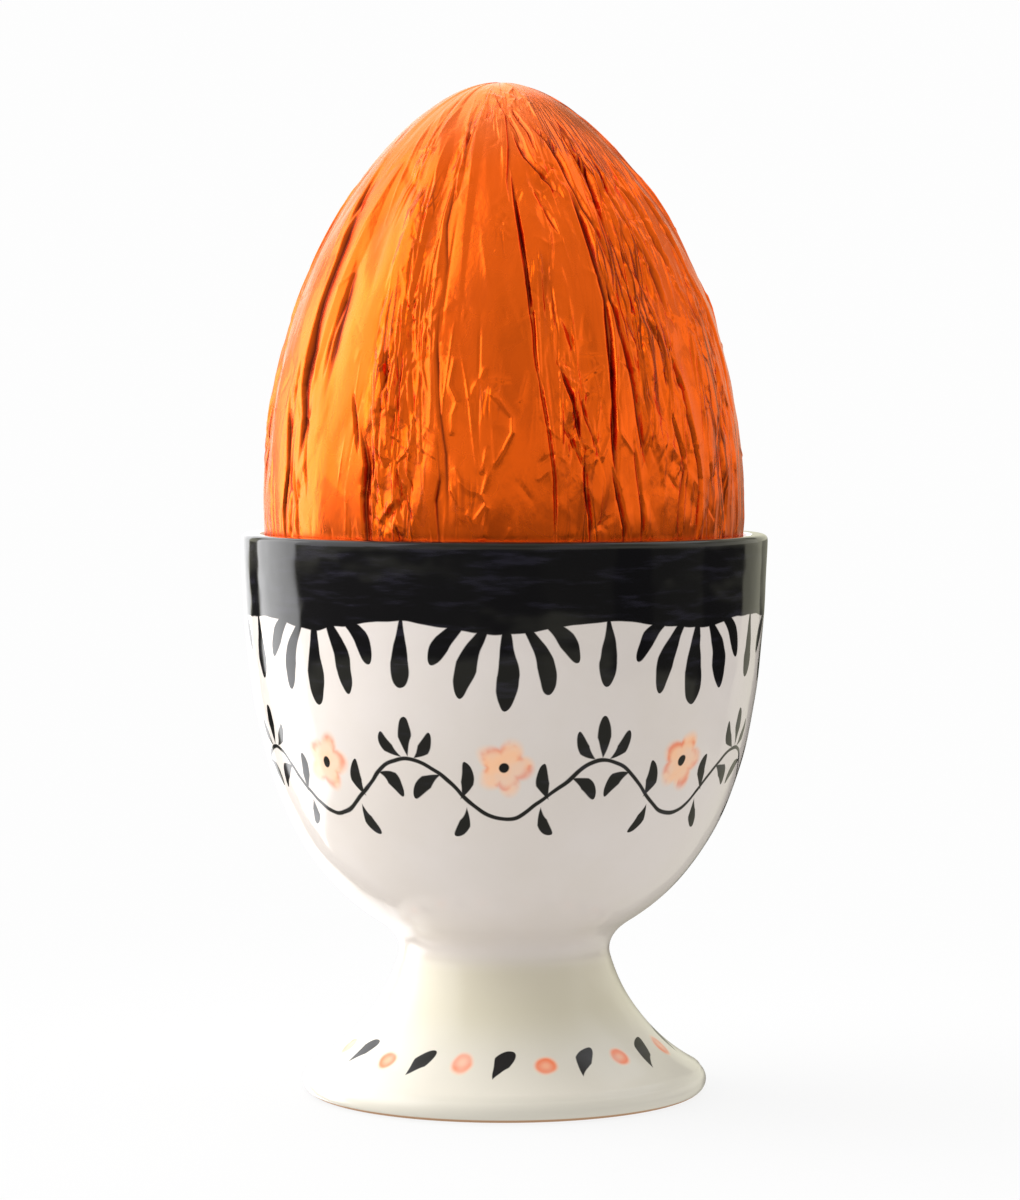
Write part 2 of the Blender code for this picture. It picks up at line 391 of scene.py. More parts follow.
# Long folds of the front: kind; height, depth and width in hundredths of a millimetre;
# then points (azimuth, z) downwards.
FRONT_FOLDS = (
    ("left", 6, 25, 35, (-65, 92.5), (-64, 90), (-62, 86)),
    ("left", 15, 55, 60, (-62.5, 89.5), (-59.5, 83), (-60, 78.7), (-59, 74), (-59, 71), (-57, 68),
     (-58, 62.5)),
    ("left", 10, 34, 90, (-50, 84), (-49, 78), (-49, 74.5), (-50, 69)),
    ("slit", 4, 30, 25, (-49.5, 82), (-50, 76), (-51, 71)),
    ("valley", 0, 16, 130, (-43, 91), (-44, 86), (-41, 82.5), (-38, 79)),
    ("left", 8, 26, 30, (-66, 72), (-63.5, 66.6), (-63, 62.7), (-64, 58.8), (-63, 50)),
    ("left", 6, 14, 30, (-80, 73), (-80, 66.5), (-80, 58)),
    ("slit", 5, 20, 20, (-61.5, 74), (-63, 68.5)),
    ("slit", 5, 22, 20, (-57, 68), (-54.5, 64), (-53, 59.5)),
    ("slit", 6, 20, 20, (-61, 64.5), (-58, 59.8), (-57, 54)),
    ("ridge", 11, 0, 28, (-34, 82), (-33, 78), (-32, 74), (-32, 70), (-32, 65)),
    ("left", 8, 20, 40, (-31.5, 75), (-30, 71), (-31, 66)),
    ("slit", 5, 30, 22, (-39, 71), (-37, 67), (-36, 63.5)),
    ("left", 15, 45, 32, (-36, 67.5), (-33.5, 63.2), (-34, 60), (-34, 58), (-34, 50)),
    ("ridge", 18, 0, 20, (-15, 94), (-19, 90.4), (-19, 83), (-19, 79), (-20, 74.5), (-21, 70.3),
     (-22, 66.5), (-23, 61.8), (-23, 50)),
    ("left", 6, 20, 40, (-17, 92), (-17.5, 86), (-17, 82), (-16, 77)),
    ("ridge", 15, 0, 18, (-29, 69), (-26, 62.3), (-24, 57), (-23.5, 50)),
    ("ridge", 14, 0, 35, (-18, 75), (-17, 69.5), (-17, 65)),
    ("left", 10, 20, 45, (-16.5, 80), (-17, 74), (-16, 69.3), (-14, 64.2), (-13, 57)),
    ("left", 12, 34, 26, (-15.5, 67), (-15, 61.8), (-16, 59.9), (-15, 50)),
    ("left", 8, 20, 30, (-19, 98.5), (-17, 95), (-17, 93.4), (-16, 90)),
    ("ridge", 13, 0, 25, (-40, 95.5), (-34, 90.6), (-32, 85)),
    ("ridge", 14, 0, 22, (-4, 99.6), (-1, 95.4), (1, 92.3), (1, 87.5)),
    ("left", 12, 20, 25, (-8, 99.8), (2, 97), (3, 92), (3, 87)),
    ("left", 30, 34, 26, (3.5, 92.5), (5, 86.2), (6, 82.5), (7, 79), (8, 74)),
    ("slit", 5, 34, 22, (4.1, 91), (5.2, 86), (6.2, 82.5), (7.2, 79), (8.1, 75)),
    ("pleat", 16, 20, 22, (7, 80.5), (8.5, 72.5), (9.5, 69.7), (11, 65.5), (12, 61.7), (12, 59.8),
     (11, 50)),
    ("ridge", 12, 0, 22, (6.5, 73), (9, 67.4), (9.5, 61.5)),
    ("ridge", 6, 0, 30, (-7, 88), (-5, 83.5), (-3, 78)),
    ("pleat", 14, 22, 28, (8, 98.6), (12, 96.6), (15, 95.2), (16, 92.5)),
    ("pleat", 14, 20, 30, (3, 97.6), (8, 95.4), (12, 93)),
    ("pleat", 24, 26, 34, (13, 97.4), (24, 94.3), (26, 92.4), (27, 90), (29, 87.4), (32, 84.5),
     (34.5, 80.5)),
    ("pleat", 26, 35, 40, (40, 97.6), (36, 94.4), (36, 92.6), (37, 91), (35.5, 88), (36, 83)),
    ("pleat", 16, 20, 26, (46, 94.5), (44, 90.7), (43, 89), (45, 85.5), (46, 81)),
    ("pleat", 24, 30, 40, (49, 91.5), (56, 87.6), (57, 85.8), (58, 79.5)),
    ("pleat", 20, 26, 34, (64, 91.5), (67, 86.5), (70, 82), (72, 76)),
    ("pleat", 18, 24, 36, (5, 96.4), (11, 92.6), (15, 91.3), (19, 90.1), (25, 87.8)),
    ("slit", 5, 20, 20, (11, 90.2), (15, 87.6), (19, 84.6)),
    ("pleat", 20, 28, 38, (25, 91), (27, 85.9), (28, 82), (29, 78.7), (28, 75), (27, 70), (26, 66),
     (26, 60)),
    ("slit", 6, 34, 18, (28.5, 79), (27.5, 72), (27, 69), (26, 63)),
    ("pleat", 24, 30, 36, (29.5, 83), (31, 78), (32, 75), (33, 71), (34, 67), (35, 62)),
    ("valley", 4, 22, 60, (12, 84), (12, 78.7), (11, 74.5)),
    ("slit", 6, 20, 20, (13, 81), (14, 74.5)),
    ("pleat", 14, 24, 36, (46, 87.5), (49, 82), (49, 76)),
    ("pleat", 17, 24, 25, (12.5, 74), (16, 69.7), (18, 66.5), (20, 62.8)),
    ("pleat", 15, 22, 24, (18, 71), (20, 67.3), (21.5, 65), (23, 62.4)),
    ("pleat", 12, 18, 22, (12, 68.4), (16.5, 65.4), (19.5, 61.8)),
    ("slit", 6, 34, 22, (18.8, 66), (19, 61), (20, 57.9), (20, 50)),
    ("pleat", 18, 28, 30, (25, 63.6), (27, 59.7), (28.5, 57), (29, 50)),
    ("valley", 0, 20, 50, (26, 63), (23, 57.8), (22, 50)),
    ("pleat", 14, 20, 28, (31, 66.5), (32, 61), (33, 57.7), (34, 50)),
    ("pleat", 18, 26, 34, (40.5, 78), (43, 74.7), (44, 73), (43, 69.8)),
    ("pleat", 22, 34, 28, (45, 75.5), (49, 70), (50, 67), (51, 64.7), (52, 61.5), (51, 58), (51, 50)),
    ("pleat", 14, 20, 26, (42, 70.5), (45, 65.3), (46, 62.4), (44, 59), (44, 50)),
    ("pleat", 18, 22, 32, (71, 82), (74, 76), (74, 72.5), (75, 67)),
    ("pleat", 18, 22, 34, (62, 74), (64, 70), (63, 64), (65, 56)),
    ("pleat", 26, 18, 40, (84, 93), (82, 88), (86, 82), (84, 74)),
)

# Short creases of the front: height and width in hundredths; then points (azimuth, z).
FRONT_WRINKLES = (
    (16, 22, (4, 99.6), (14, 98.8), (8, 97.9), (12, 97.2)),
    (12, 20, (-20, 99.5), (2, 98.9), (-2, 98.2)), (14, 20, (24, 99.3), (26, 98.4), (20, 97.6)),
    (14, 22, (37, 67.2), (39, 67.6), (41, 67), (41, 66), (40, 64)),
    (12, 22, (37.5, 76.2), (39.5, 77.2), (42.5, 76.7)),
    (12, 22, (59.5, 74), (62, 74.4), (65.5, 74.6)), (9, 20, (-22, 68), (-16, 66.2)),
    (8, 20, (-21.5, 67), (-15.5, 64.9)), (7, 20, (-19.5, 65), (-14.5, 63.5)),
    (6, 20, (-21, 65.6), (-17, 63.8)),
    (22, 26, (-12, 73.5), (-13, 70.7), (-11, 69.1), (-12, 68), (-12, 66)),
    (20, 24, (-4, 72.5), (-7, 70.4), (-8, 69.3)), (13, 25, (-5.5, 71), (-2, 71.3), (2.5, 71)),
    (30, 26, (-4.5, 70.2), (-1, 69.3), (2, 67.6), (2, 66.2), (0, 64.6), (-2.5, 63)),
    (16, 25, (6, 72), (4, 69)), (20, 24, (-3.8, 65), (-5, 62.3)),
    (30, 28, (-3, 63.2), (-5, 60.4), (-4, 59.2), (-5, 56)), (20, 24, (-4, 59.6), (-7, 57.8)),
    (16, 30, (-11.5, 63), (-10, 61.6), (-8, 60.8), (-5.5, 60.6)),
    (16, 30, (-12.5, 61.2), (-11, 59.9), (-10, 57.6)),
    (14, 22, (-29, 70), (-28, 67), (-27, 66.1), (-25, 65.6), (-24, 64.4)),
    (14, 22, (-25.5, 68.4), (-22, 66.3)), (14, 20, (-29.5, 88.4), (-32, 87.4), (-31, 86.2)),
    (14, 20, (-29.5, 88.4), (-25, 87.1), (-26, 84.8)),
    (14, 22, (-32, 86.3), (-29, 85.3), (-31, 83), (-28, 80.4)), (16, 28, (-31, 82), (-26, 84.8)),
    (10, 20, (-1.5, 88), (2.5, 86.4)), (10, 20, (-1.5, 87), (2.5, 85.4)),
    (10, 20, (-1.5, 86), (3, 84.4)), (14, 22, (13.5, 72), (17, 70.9), (20, 70.1), (24, 69.8)),
    (12, 25, (17.5, 74.6), (20, 75.1), (22.5, 74.5)), (8, 25, (21.5, 74), (24, 72.8), (27, 71.4)),
    (14, 22, (16.5, 66.2), (18, 64.8), (19, 64.2), (21, 64.8)),
    (14, 22, (26.5, 66.8), (29, 65.4), (31.5, 64)), (14, 22, (11, 98.6), (9, 99.4), (22, 100.2)),
    (16, 22, (8, 98.7), (14, 98.4), (22, 98.9)), (12, 25, (-20, 100.1), (-8, 99.5), (-2, 98)),
    (10, 22, (-46, 98), (-42, 96.7), (-37, 94.6)), (10, 20, (14, 92.2), (19, 91), (23, 91.6)),
    (10, 20, (9, 90.4), (14, 89.2), (19, 89.6)), (9, 22, (10, 85), (15, 84), (20, 84.6)),
    (9, 22, (9, 81.6), (12, 81.2), (14, 80.4)), (10, 22, (-57, 81), (-53, 80.4), (-49, 82)),
    (10, 22, (-57.5, 68.2), (-54, 67.4)),
)

# Long folds of the sides and the back: their azimuths and spacing, and ranges for one fold.
BACK_START = 92.0
BACK_END = 282.0
BACK_STEPS = (4.0, 9.0)
BACK_KINDS = ["slit", "left", "pleat", "valley", "ridge"]
BACK_TOPS = (86.0, 98.5)
BACK_ENDS = (53.0, 74.0)
BACK_HEIGHTS = (0.10, 0.26)
BACK_DEPTHS = {"slit": 0.30, "valley": 0.25, "ridge": 0.04, "left": 0.28, "pleat": 0.28}
BACK_WIDTHS = (0.26, 0.5)

# Straight creases: how many tries, length, width and height ranges in millimetres, the
# usual turn from the meridian, and the least share kept on a smooth panel.
CREASES = (
    (110, (10, 30), (0.9, 2.8), (0.12, 0.28), 4, 0.45),
    (700, (3, 9), (0.4, 1.6), (0.10, 0.28), 25, 0.04),
    (2400, (1.2, 4), (0.16, 0.50), (0.07, 0.20), 36, 0.02),
    (1600, (4, 16), (0.10, 0.28), (0.09, 0.26), 5, 0.09),
)
CREASE_NARROW_RADIUS = 12.0
CREASE_LEAST_SIZE = 0.35


def crumple_strength(azimuth, z):
    """How crumpled the foil is at a place: low on the smooth panels, 1 at the worst."""
    strength = np.full(np.shape(azimuth), CRUMPLE_FLOOR)
    for middle, height, half_width, half_height, most in CRUMPLED:
        across = wrap(azimuth - middle) / half_width
        along = (z - height) / half_height
        strength = np.maximum(strength, most * np.exp(-(across ** 2 + along ** 2) ** 2))
    return strength


def near_tip(z):
    """The share of a facet's height that is left where the egg gets narrow."""
    return np.minimum(1.0, egg_radius(z) / NARROW_RADIUS)


def panel_amount(azimuth, z):
    return PANEL_AMOUNT * near_tip(z) * np.interp(z, (55.0, 69.0), (0.05, 1.0))


def crumple_amount(azimuth, z):
    most = CRUMPLE_AMOUNT * near_tip(z) * np.interp(z, (53.0, 62.0), (0.5, 1.0))
    return crumple_strength(azimuth, z) ** 1.8 * most


def small_amount(azimuth, z):
    return SMALL_AMOUNT * crumple_strength(azimuth, z) * near_tip(z)


def shape_relief():
    """The whole relief, from the broad panels down to the fine creases."""
    dice = np.random.default_rng(FOIL_SEED)
    relief = Relief()
    relief.facets(dice, *PANEL_FACETS, panel_amount)
    relief.facets(dice, *CRUMPLE_FACETS, crumple_amount)
    relief.facets(dice, *SMALL_FACETS, small_amount)
    add_creases(dice, relief)
    for kind, height, depth, width, *points in FRONT_FOLDS:
        relief.fold(dice, kind, height / 100, depth / 100, width / 100, points)
    for height, width, *points in FRONT_WRINKLES:
        relief.wrinkle(height / 100, width / 100, points)
    add_back_folds(dice, relief)
    relief.height = blurred(relief.height, ROUNDING)
    return relief


def add_back_folds(dice, relief):
    """Long folds round the sides and the back, of the front's kinds and sizes."""
    azimuth = BACK_START
    while azimuth < BACK_END:
        kind = dice.choice(BACK_KINDS)
        top = dice.uniform(*BACK_TOPS)
        low = dice.uniform(*BACK_ENDS)
        drift = dice.uniform(-5.0, 5.0)
        middle = azimuth + dice.uniform(-2.0, 2.0)
        halfway = 0.5 * (top + low) + dice.uniform(-4.0, 4.0)
        points = [(middle - drift, top), (middle, halfway), (middle + drift, low)]
        height = dice.uniform(*BACK_HEIGHTS) * (0.5 if kind == "slit" else 1.0)
        depth = BACK_DEPTHS[kind] * dice.uniform(0.6, 1.3)
        width = dice.uniform(*BACK_WIDTHS)
        relief.fold(dice, kind, height, depth, width, points)
        azimuth += dice.uniform(*BACK_STEPS)


def add_creases(dice, relief):
    """Straight creases of several sizes, thickest where the foil is crumpled."""
    for tries, lengths, widths, heights, turn, least in CREASES:
        for _ in range(tries):
            azimuth = dice.uniform(-180.0, 180.0)
            z = TIP_Z - (TIP_Z - FOIL_EDGE_Z) * dice.random() ** 0.8
            rough = float(crumple_strength(np.array([azimuth]), np.array([z]))[0])
            chance = max(rough, least)
            length = dice.uniform(*lengths)
            left_width = dice.uniform(*widths)
            right_width = dice.uniform(*widths)
            height = dice.uniform(*heights) * dice.choice([-1.0, 1.0])
            lean_over = dice.normal(0.0, turn)
            if dice.random() > chance:
                continue
            size = min(1.0, egg_radius(z) / CREASE_NARROW_RADIUS)
            size = size * (CREASE_LEAST_SIZE + (1.0 - CREASE_LEAST_SIZE) * rough)
            relief.crease(azimuth, z, lean_over, length, left_width, right_width, height * size)


# Meshes

def lean(points):
    """Points in millimetres turned about the Y axis through the middle of the mouth."""
    rise = points[..., 2] - CUP_HEIGHT
    across = points[..., 0] * math.cos(EGG_LEAN) + rise * math.sin(EGG_LEAN)
    up = rise * math.cos(EGG_LEAN) - points[..., 0] * math.sin(EGG_LEAN)
    return np.stack((across, points[..., 1], CUP_HEIGHT + up), -1)


def grid_mesh(name, rings, tip, base):
    """A closed mesh through rings of points (top first), with a tip and a base point."""
    rows, columns = rings.shape[:2]
    places = np.concatenate((rings.reshape(-1, 3), [tip, base])) * MM
    here = np.arange(rows * columns).reshape(rows, columns)
    after = np.roll(here, -1, 1)
    quads = np.stack((here[1:], after[1:], after[:-1], here[:-1]), -1).reshape(-1, 4)
    top_fan = np.stack((here[0], after[0], np.full(columns, here.size)), 1)
    base_fan = np.stack((after[-1], here[-1], np.full(columns, here.size + 1)), 1)
    mesh = bpy.data.meshes.new(name)
    mesh.from_pydata(places, [], quads.tolist() + top_fan.tolist() + base_fan.tolist())
    mesh.validate()
    mesh.shade_smooth()
    piece = bpy.data.objects.new(name, mesh)
    bpy.context.scene.collection.objects.link(piece)
    return piece


def around(radius, azimuth, z):
    """Points round the axis: radius and z may be one value a row or one a point."""
    angle = np.radians(azimuth)
    return np.stack(np.broadcast_arrays(radius * np.sin(angle), -radius * np.cos(angle), z), -1)


def make_foil():
    """The wrapped egg: fine relief above the mouth, and a plain end hidden in the bowl."""
    relief = shape_relief()
    # Painted shade: places sunk below their blurred surroundings and the folds' closed depths get a
    # darker colour for the shade in them.
    sunk = blurred(blurred(relief.height, HOLLOW_BLUR), HOLLOW_BLUR) - relief.height
    shaded = HOLLOW_MOST * smooth_step((sunk - HOLLOW_START) / HOLLOW_RANGE)
    dark = np.maximum(relief.crevice_shade, shaded)
    height = np.clip(relief.height, RELIEF_LOW, RELIEF_HIGH) - RELIEF_SINK
    free = smooth_step((relief.z - FOIL_EDGE_Z) / MOUTH_FADE)[:, None]
    height = np.minimum(height, MOUTH_HIGH + MOUTH_GAIN * free)
    radius = relief.radius[:, None] + relief.normal_r[:, None] * height
    z = relief.z[:, None] + relief.normal_z[:, None] * height
    kept = (np.abs(relief.azimuth) < FINE_DEGREES) | (np.arange(COLUMNS) % BACK_STRIDE == 0)
    azimuth = relief.azimuth[kept]
    dark = dark[:, kept]
    fine = around(radius[:, kept], azimuth[None, :], z[:, kept])
    share = np.linspace(0.93, 0.03, HIDDEN_RINGS) ** 1.3
    hidden_z = EGG_BASE_Z + (FOIL_EDGE_Z - EGG_BASE_Z) * share
    hidden_radius = egg_radius(hidden_z) - HIDDEN_GAP
    hidden = around(hidden_radius[:, None], azimuth[None, :], hidden_z[:, None])
    rings = lean(np.concatenate((fine, hidden)))
    tip = lean(np.array([0.0, 0.0, TIP_Z - TIP_GAP]))
    base = lean(np.array([0.0, 0.0, EGG_BASE_Z + BASE_GAP]))
    piece = grid_mesh("foil", rings, tip, base)
    store(piece, "hollow_shade", dark)
    store(piece, "crumple", crumple_strength(azimuth[None, :], relief.z[:, None]))
    reduce_mesh(piece, TRIANGLE_BUDGET)
    return piece


def store(piece, name, grid):
    """Gives the first points of a mesh a value each, for its material to read."""
    attribute = piece.data.attributes.new(name, "FLOAT", "POINT")
    values = np.zeros(len(piece.data.vertices))
    values[:grid.size] = grid.ravel()
    attribute.data.foreach_set("value", values)


def reduce_mesh(piece, budget):
    """Collapses a dense mesh to a number of triangles, mostly on its flat parts."""
    piece.data.calc_loop_triangles()
    modifier = piece.modifiers.new("reduce", "DECIMATE")
    modifier.ratio = budget / len(piece.data.loop_triangles)
    modifier.use_collapse_triangulate = True
    graph = bpy.context.evaluated_depsgraph_get()
    reduced = bpy.data.meshes.new_from_object(piece.evaluated_get(graph))
    piece.modifiers.clear()
    old = piece.data
    piece.data = reduced
    bpy.data.meshes.remove(old)
    piece.data.shade_smooth()


# Cup: the outline of the CAD node with a squarer, thinner lip, turned finely.
BOWL_FULL_RADIUS = 26.48
BOWL_CROWN_Z = 86.1
BOWL_ROOT_Z = 13.8
BOWL_FULLNESS = 5.16
BOWL_ROUNDNESS = 0.493
BOWL_FLOOR_Z = 21.0
BOWL_INNER_FULLNESS = 3.2
MOUTH_RADIUS = 24.4
LIP_RISE = 0.75
LIP_SQUARENESS = 0.68
NECK_TOP_Z = 16.1
NECK_FILLET = 2.6
FLARE_CENTRE = (28.97, 19.14)
FLARE_RADIUS = 19.15
FLARE_START_Z = 2.4
FOOT_EDGE_ROUND = 1.2
FOOT_RING_OUTER = 19.05
FOOT_RING_INNER = 17.2
RECESS_HEIGHT = 6.0
RECESS_FULLNESS = 2.6
CUP_COLUMNS = 256
RIM_SLOPE = 0.0024


def bowl_radius(z):
    depth = (BOWL_CROWN_Z - z) / (BOWL_CROWN_Z - BOWL_ROOT_Z)
    return BOWL_FULL_RADIUS * (1.0 - np.clip(depth, 0.0, 1.0) ** BOWL_FULLNESS) ** BOWL_ROUNDNESS


def flare_radius(z):
    return FLARE_CENTRE[0] - np.sqrt(FLARE_RADIUS ** 2 - (FLARE_CENTRE[1] - z) ** 2)


def arc(centre, radii, first, last, steps):
    """Rows (radius, z) along a round or oval arc."""
    angle = np.radians(np.linspace(first, last, steps))
    return np.stack((centre[0] + radii[0] * np.cos(angle), centre[1] + radii[1] * np.sin(angle)), 1)


def crossing(first, second, third, fourth):
    """Where the line through two points meets the line through two others."""
    ahead = second - first
    back = fourth - third
    share = np.linalg.solve(np.stack((ahead, -back), 1), third - first)
    return first + share[0] * ahead


def cup_outline():
    """The cup's section as rows (radius, z), from inside the bowl over the lip to the recess."""
    lip_z = CUP_HEIGHT - LIP_RISE
    outer = float(bowl_radius(lip_z))
    half = 0.5 * (outer - MOUTH_RADIUS)
    share = np.linspace(0.995, 0.02, 40)
    inner = np.stack((MOUTH_RADIUS * np.sqrt(1.0 - share ** BOWL_INNER_FULLNESS),
                      lip_z - (lip_z - BOWL_FLOOR_Z) * share), 1)
    turn = arc((0.0, 0.0), (1.0, 1.0), 180.0, 0.0, 41)
    lip = np.sign(turn) * np.abs(turn) ** LIP_SQUARENESS * (half, LIP_RISE)
    lip = lip + (MOUTH_RADIUS + half, lip_z)
    z = np.concatenate((np.linspace(lip_z - 0.4, 26.0, 44),
                        np.linspace(25.5, NECK_TOP_Z + 1.3, 60)))
    bowl = np.stack((bowl_radius(z), z), 1)
    z = np.linspace(NECK_TOP_Z - NECK_FILLET, FLARE_START_Z, 40)
    flare = np.stack((flare_radius(z), z), 1)
    corner = crossing(bowl[-2], bowl[-1], flare[1], flare[0])
    share = np.linspace(0.0, 1.0, 16)[1:-1, None]
    fillet = (1 - share) ** 2 * bowl[-1] + 2 * share * (1 - share) * corner + share ** 2 * flare[0]
    edge = arc((FOOT_RING_OUTER, FOOT_EDGE_ROUND), (FOOT_EDGE_ROUND, FOOT_EDGE_ROUND),
               50.0, -90.0, 18)
    share = np.linspace(1.0, 0.03, 24)
    recess = np.stack((FOOT_RING_INNER * share, RECESS_HEIGHT * (1.0 - share ** RECESS_FULLNESS)), 1)
    return np.concatenate((inner, lip, bowl, fillet, flare, edge, recess))


def make_cup():
    """The glazed cup, turned with the slight unevenness of hand work."""
    outline = cup_outline()
    azimuth = np.arange(CUP_COLUMNS) * 360.0 / CUP_COLUMNS
    radius = outline[:, :1]
    z = outline[:, 1:]
    angle = np.radians(azimuth)[None, :]
    swell = 0.035 * np.sin(3.0 * angle + 0.11 * z) + 0.025 * np.sin(5.0 * angle - 0.23 * z + 1.0)
    swell = swell + 0.020 * np.sin(0.9 * z + 2.0 * np.sin(angle))
    outside = smooth_step((z - 3.0) / 4.0) * smooth_step((radius - 9.0) / 3.0)
    radius = radius + (swell - 0.06) * outside
    z = z - RIM_SLOPE * radius * np.sin(angle) * smooth_step((z - 22.0) / 30.0)
    rings = around(radius, azimuth[None, :], z)
    return grid_mesh("cup", rings, np.array([0.0, 0.0, BOWL_FLOOR_Z]),
                     np.array([0.0, 0.0, RECESS_HEIGHT]))


# Shader helpers

def joined(operation):
    """A method that puts a wire, and another value if there is one, into a math node."""
    def method(self, *others):
        return self.graph.math(operation, self, *others)
    return method


class Wire:
    """A shader value. Signs join it to other values and numbers; | takes the greater one."""

    def __init__(self, graph, socket):
        self.graph = graph
        self.socket = socket

    def __rsub__(self, other):
        return self.graph.math("SUBTRACT", other, self)

    __add__ = joined("ADD")
    __sub__ = joined("SUBTRACT")
    __mul__ = joined("MULTIPLY")
    __truediv__ = joined("DIVIDE")
    __or__ = joined("MAXIMUM")
    __abs__ = joined("ABSOLUTE")


class Graph:
    """The nodes of one shader tree, added by short calls."""

    def __init__(self, tree):
        self.tree = tree

    def feed(self, socket, value):
        """Links a wire into a socket, or sets it to a number or colour."""
        if isinstance(value, Wire):
            self.tree.links.new(value.socket, socket)
        else:
            socket.default_value = value

    def set(self, node, **sockets):
        for name, value in sockets.items():
            self.feed(node.inputs[name.replace("_", " ")], value)

    def add(self, kind, settings=None, *values, **sockets):
        """A new node. Values are fed to its sockets in their order, sockets by their names."""
        node = self.tree.nodes.new(kind)
        for name, value in (settings or {}).items():
            setattr(node, name, value)
        for socket, value in zip(node.inputs, values):
            self.feed(socket, value)
        self.set(node, **sockets)
        return node

    def out(self, node, output=0):
        return Wire(self, node.outputs[output])

    def math(self, operation, *values):
        return self.out(self.add("ShaderNodeMath", {"operation": operation}, *values))

    def ramp(self, value, low, high, to_low=0.0, to_high=1.0):
        """A smooth change from to_low to to_high as value goes from low to high."""
        return self.out(self.add("ShaderNodeMapRange", {"interpolation_type": "SMOOTHSTEP"},
                                 value, low, high, to_low, to_high))

    def mix(self, factor, first, second):
        """A colour between two colours."""
        node = self.add("ShaderNodeMix", {"data_type": "RGBA"}, factor)
        self.feed(node.inputs[6], first)
        self.feed(node.inputs[7], second)
        return self.out(node, 2)

    def noise(self, place, scale, detail=2.0, roughness=0.5, output="Fac"):
        return self.out(self.add("ShaderNodeTexNoise", Vector=place, Scale=scale, Detail=detail,
                                 Roughness=roughness), output)

    def mottle(self, place, scale, detail, low, high, roughness=0.5):
        """A value that varies between low and high in soft patches."""
        return self.ramp(self.noise(place, scale, detail, roughness), 0.3, 0.7, low, high)

    def split(self, vector):
        node = self.add("ShaderNodeSeparateXYZ", None, vector)
        return [self.out(node, axis) for axis in range(3)]

    def azimuth(self, x, y):
        return self.math("DEGREES", self.math("ARCTAN2", x, y * -1.0))

    def distance(self, across, up):
        return self.math("SQRT", across * across + up * up)

    def attribute(self, name):
        return self.out(self.add("ShaderNodeAttribute", {"attribute_name": name}), "Fac")

    def object_place(self):
        return self.out(self.add("ShaderNodeTexCoord"), "Object")


def new_material(name):
    material = bpy.data.materials.new(name)
    material.use_nodes = True
    return material, Graph(material.node_tree), material.node_tree.nodes["Principled BSDF"]


# Foil material

LACQUER_DEEP = (0.85, 0.102, 0.0010, 1.0)
LACQUER_LIGHT = (0.89, 0.123, 0.0014, 1.0)
# Painted sheen: a paler colour towards the tip, standing in for the highlight of the light above and
# behind.
LACQUER_TIP_SHEEN = (0.90, 0.24, 0.085, 1.0)
# Painted shade colour: a deep red-brown put into hollows, fold depths and the thin lines between
# pleats.
HOLLOW_SHADE_COLOUR = (0.11, 0.006, 0.0002, 1.0)
LACQUER_EDGE = (1.0, 0.62, 0.42, 1.0)
TIP_SHEEN_HEIGHTS = (0.0910, 0.0995)
TIP_SHEEN_SHARE = 0.40
STRETCH = (1.0, 1.0, 0.34)
CRINKLE_WARP = (0.0012, 0.0012, 0.0012)
CRINKLE_SCALE = 720.0
FINE_SCALE = 2600.0
FINE_DEPTH = 0.08
FOIL_BUMP = 0.00030

# Thin lines between the pleats: their spacing in degrees, slant and swing. They are on the
# gathered sides, from these azimuths on, and in the crumpled places.
PLEAT_LINES = ((3.6, 0.0, 1.9), (4.6, 42.0, -1.6), (5.4, -55.0, 1.2))
GATHERED_RIGHT = (8.0, 24.0)
GATHERED_LEFT = (-62.0, -80.0)
# The thin lines are pressed in by PLEAT_DEPTH and darkened with painted shade by GAP_SHADE.
PLEAT_DEPTH = 0.34
GAP_SHADE = 0.75


def pleat_lines(graph, azimuth, height, stretched):
    """Distance from the nearest thin line, as a share of the lines' spacing."""
    kind = {"voronoi_dimensions": "1D", "feature": "DISTANCE_TO_EDGE"}
    sway = graph.noise(stretched, 230.0)
    nearest = 1.0
    for width, slant, swing in PLEAT_LINES:
        column = azimuth / width + height * slant + sway * swing
        lines = graph.add("ShaderNodeTexVoronoi", kind, W=column, Scale=1.0)
        nearest = graph.math("MINIMUM", nearest, graph.out(lines, "Distance"))
    return nearest


def crinkles(graph, place, stretched, crumple):
    """Small cells with sharp edges, strongest where the foil is crumpled."""
    bent = graph.noise(place, 500.0, output="Color")
    warped = graph.add("ShaderNodeVectorMath", {"operation": "MULTIPLY_ADD"},
                       bent, CRINKLE_WARP, stretched)
    cells = graph.add("ShaderNodeTexVoronoi", Vector=graph.out(warped), Scale=CRINKLE_SCALE)
    return graph.out(cells, "Distance") * graph.ramp(crumple, 0.05, 0.9, 0.04, 0.62)


